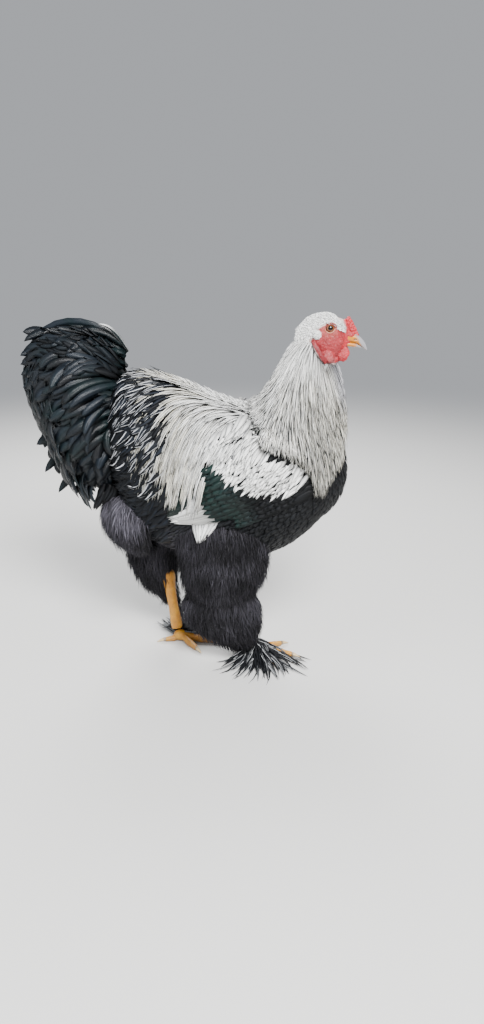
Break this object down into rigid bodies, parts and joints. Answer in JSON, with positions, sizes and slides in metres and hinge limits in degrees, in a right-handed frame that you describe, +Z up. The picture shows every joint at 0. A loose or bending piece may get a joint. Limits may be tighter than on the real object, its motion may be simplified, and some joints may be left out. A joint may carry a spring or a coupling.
{
  "type": "brahma chicken",
  "caption": "Life-size model of a large feather-legged cock in a walking stance, silver-white hackle and saddle over a black body and tail.",
  "frame": {"origin": "on the floor, under the middle of the whole bird's bounding box", "axes": "+X forward, the way the bird faces, +Y to the bird's left, +Z up"},
  "size_m": [0.5878, 0.2732, 0.6392],
  "materials": {
    "plumage_black": "black contour feathers with a soft sheen",
    "plumage_white": "silver-white wing covert feathers",
    "plumage_silver": "silver-white hackle feathers with black centre stripes",
    "plumage_green": "black tail feathers with a green gloss",
    "down": "dull slate-black down",
    "red_skin": "bare red skin with a fine grain",
    "scaled_skin": "yellow scaled skin",
    "horn": "yellow horn, darker along the ridge",
    "eye": "wet orange-bay eye with a black pupil"
  },
  "bodies": {
    "root": {"torso": "plumage_black", "wing_right": "plumage_white", "wing_left": "plumage_white", "tail": "plumage_green", "neck": "plumage_silver", "head": "red_skin", "beak_upper": "horn", "beak_lower": "horn", "comb": "red_skin", "eye_right": "eye", "eye_left": "eye", "wattle_right": "red_skin", "wattle_left": "red_skin", "earlobe_right": "red_skin", "earlobe_left": "red_skin", "thigh_right": "down", "thigh_left": "down", "shank_right": "down", "shank_left": "scaled_skin", "foot_right": "scaled_skin", "foot_left": "scaled_skin", "claw_right_1": "horn", "claw_right_2": "horn", "claw_right_3": "horn", "claw_right_4": "horn", "claw_left_1": "horn", "claw_left_2": "horn", "claw_left_3": "horn", "claw_left_4": "horn"}
  },
  "joints": []
}
